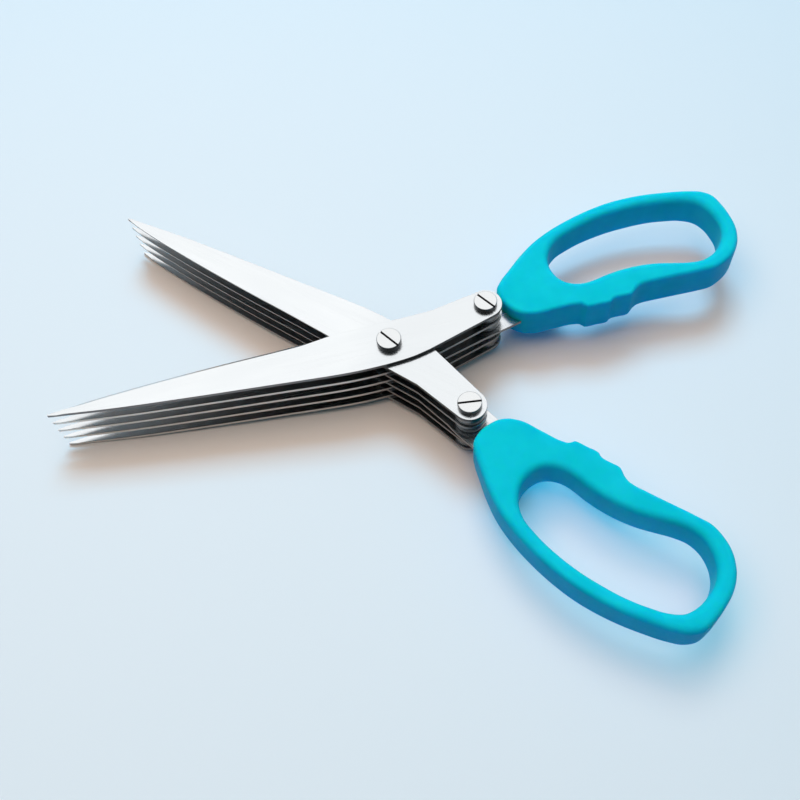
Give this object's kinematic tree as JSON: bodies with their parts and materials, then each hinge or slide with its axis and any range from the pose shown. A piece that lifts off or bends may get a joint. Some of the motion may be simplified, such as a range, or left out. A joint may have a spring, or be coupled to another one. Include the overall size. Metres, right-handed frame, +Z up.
{
  "type": "herb scissors",
  "caption": "Hand scissors with stacked parallel blades on each side, held apart by spacers on one slotted pivot screw, and two moulded loop handles, shown half open.",
  "frame": {"origin": "centre of the pivot nut's foot, on the pivot's axis", "axes": "+Z up along the pivot's axis, square to the blades; +X from the pivot towards the handles, midway between the two halves; +Y towards the thumb handle"},
  "size_m": [0.1785, 0.1342, 0.0221],
  "materials": {
    "handle_plastic": "fine satin moulded turquoise plastic",
    "blade_steel": "polished stainless sheet",
    "screw_steel": "polished",
    "spacer_steel": "turned, satin"
  },
  "bodies": {
    "thumb_half": {"thumb_handle": "handle_plastic", "thumb_blade_1": "blade_steel", "thumb_blade_2": "blade_steel", "thumb_blade_3": "blade_steel", "thumb_blade_4": "blade_steel", "thumb_blade_5": "blade_steel", "thumb_ear_spacer_1": "spacer_steel", "thumb_ear_spacer_2": "spacer_steel", "thumb_ear_spacer_3": "spacer_steel", "thumb_ear_spacer_4": "spacer_steel", "thumb_rear_screw": "screw_steel", "thumb_rear_nut": "screw_steel", "pivot_screw": "screw_steel", "pivot_nut": "screw_steel", "pivot_washer_1": "spacer_steel", "pivot_washer_2": "spacer_steel", "pivot_washer_3": "spacer_steel", "pivot_washer_4": "spacer_steel"},
    "finger_half": {"finger_handle": "handle_plastic", "finger_blade_1": "blade_steel", "finger_blade_2": "blade_steel", "finger_blade_3": "blade_steel", "finger_blade_4": "blade_steel", "finger_blade_5": "blade_steel", "finger_ear_spacer_1": "spacer_steel", "finger_ear_spacer_2": "spacer_steel", "finger_ear_spacer_3": "spacer_steel", "finger_ear_spacer_4": "spacer_steel", "finger_rear_screw": "screw_steel", "finger_rear_nut": "screw_steel"}
  },
  "joints": [
    {"name": "pivot", "type": "hinge", "parent": "thumb_half", "child": "finger_half", "pos_m": [0, 0, 0], "axis": [0, 0, 1], "range_deg": [-96.3, 43.7]}
  ]
}
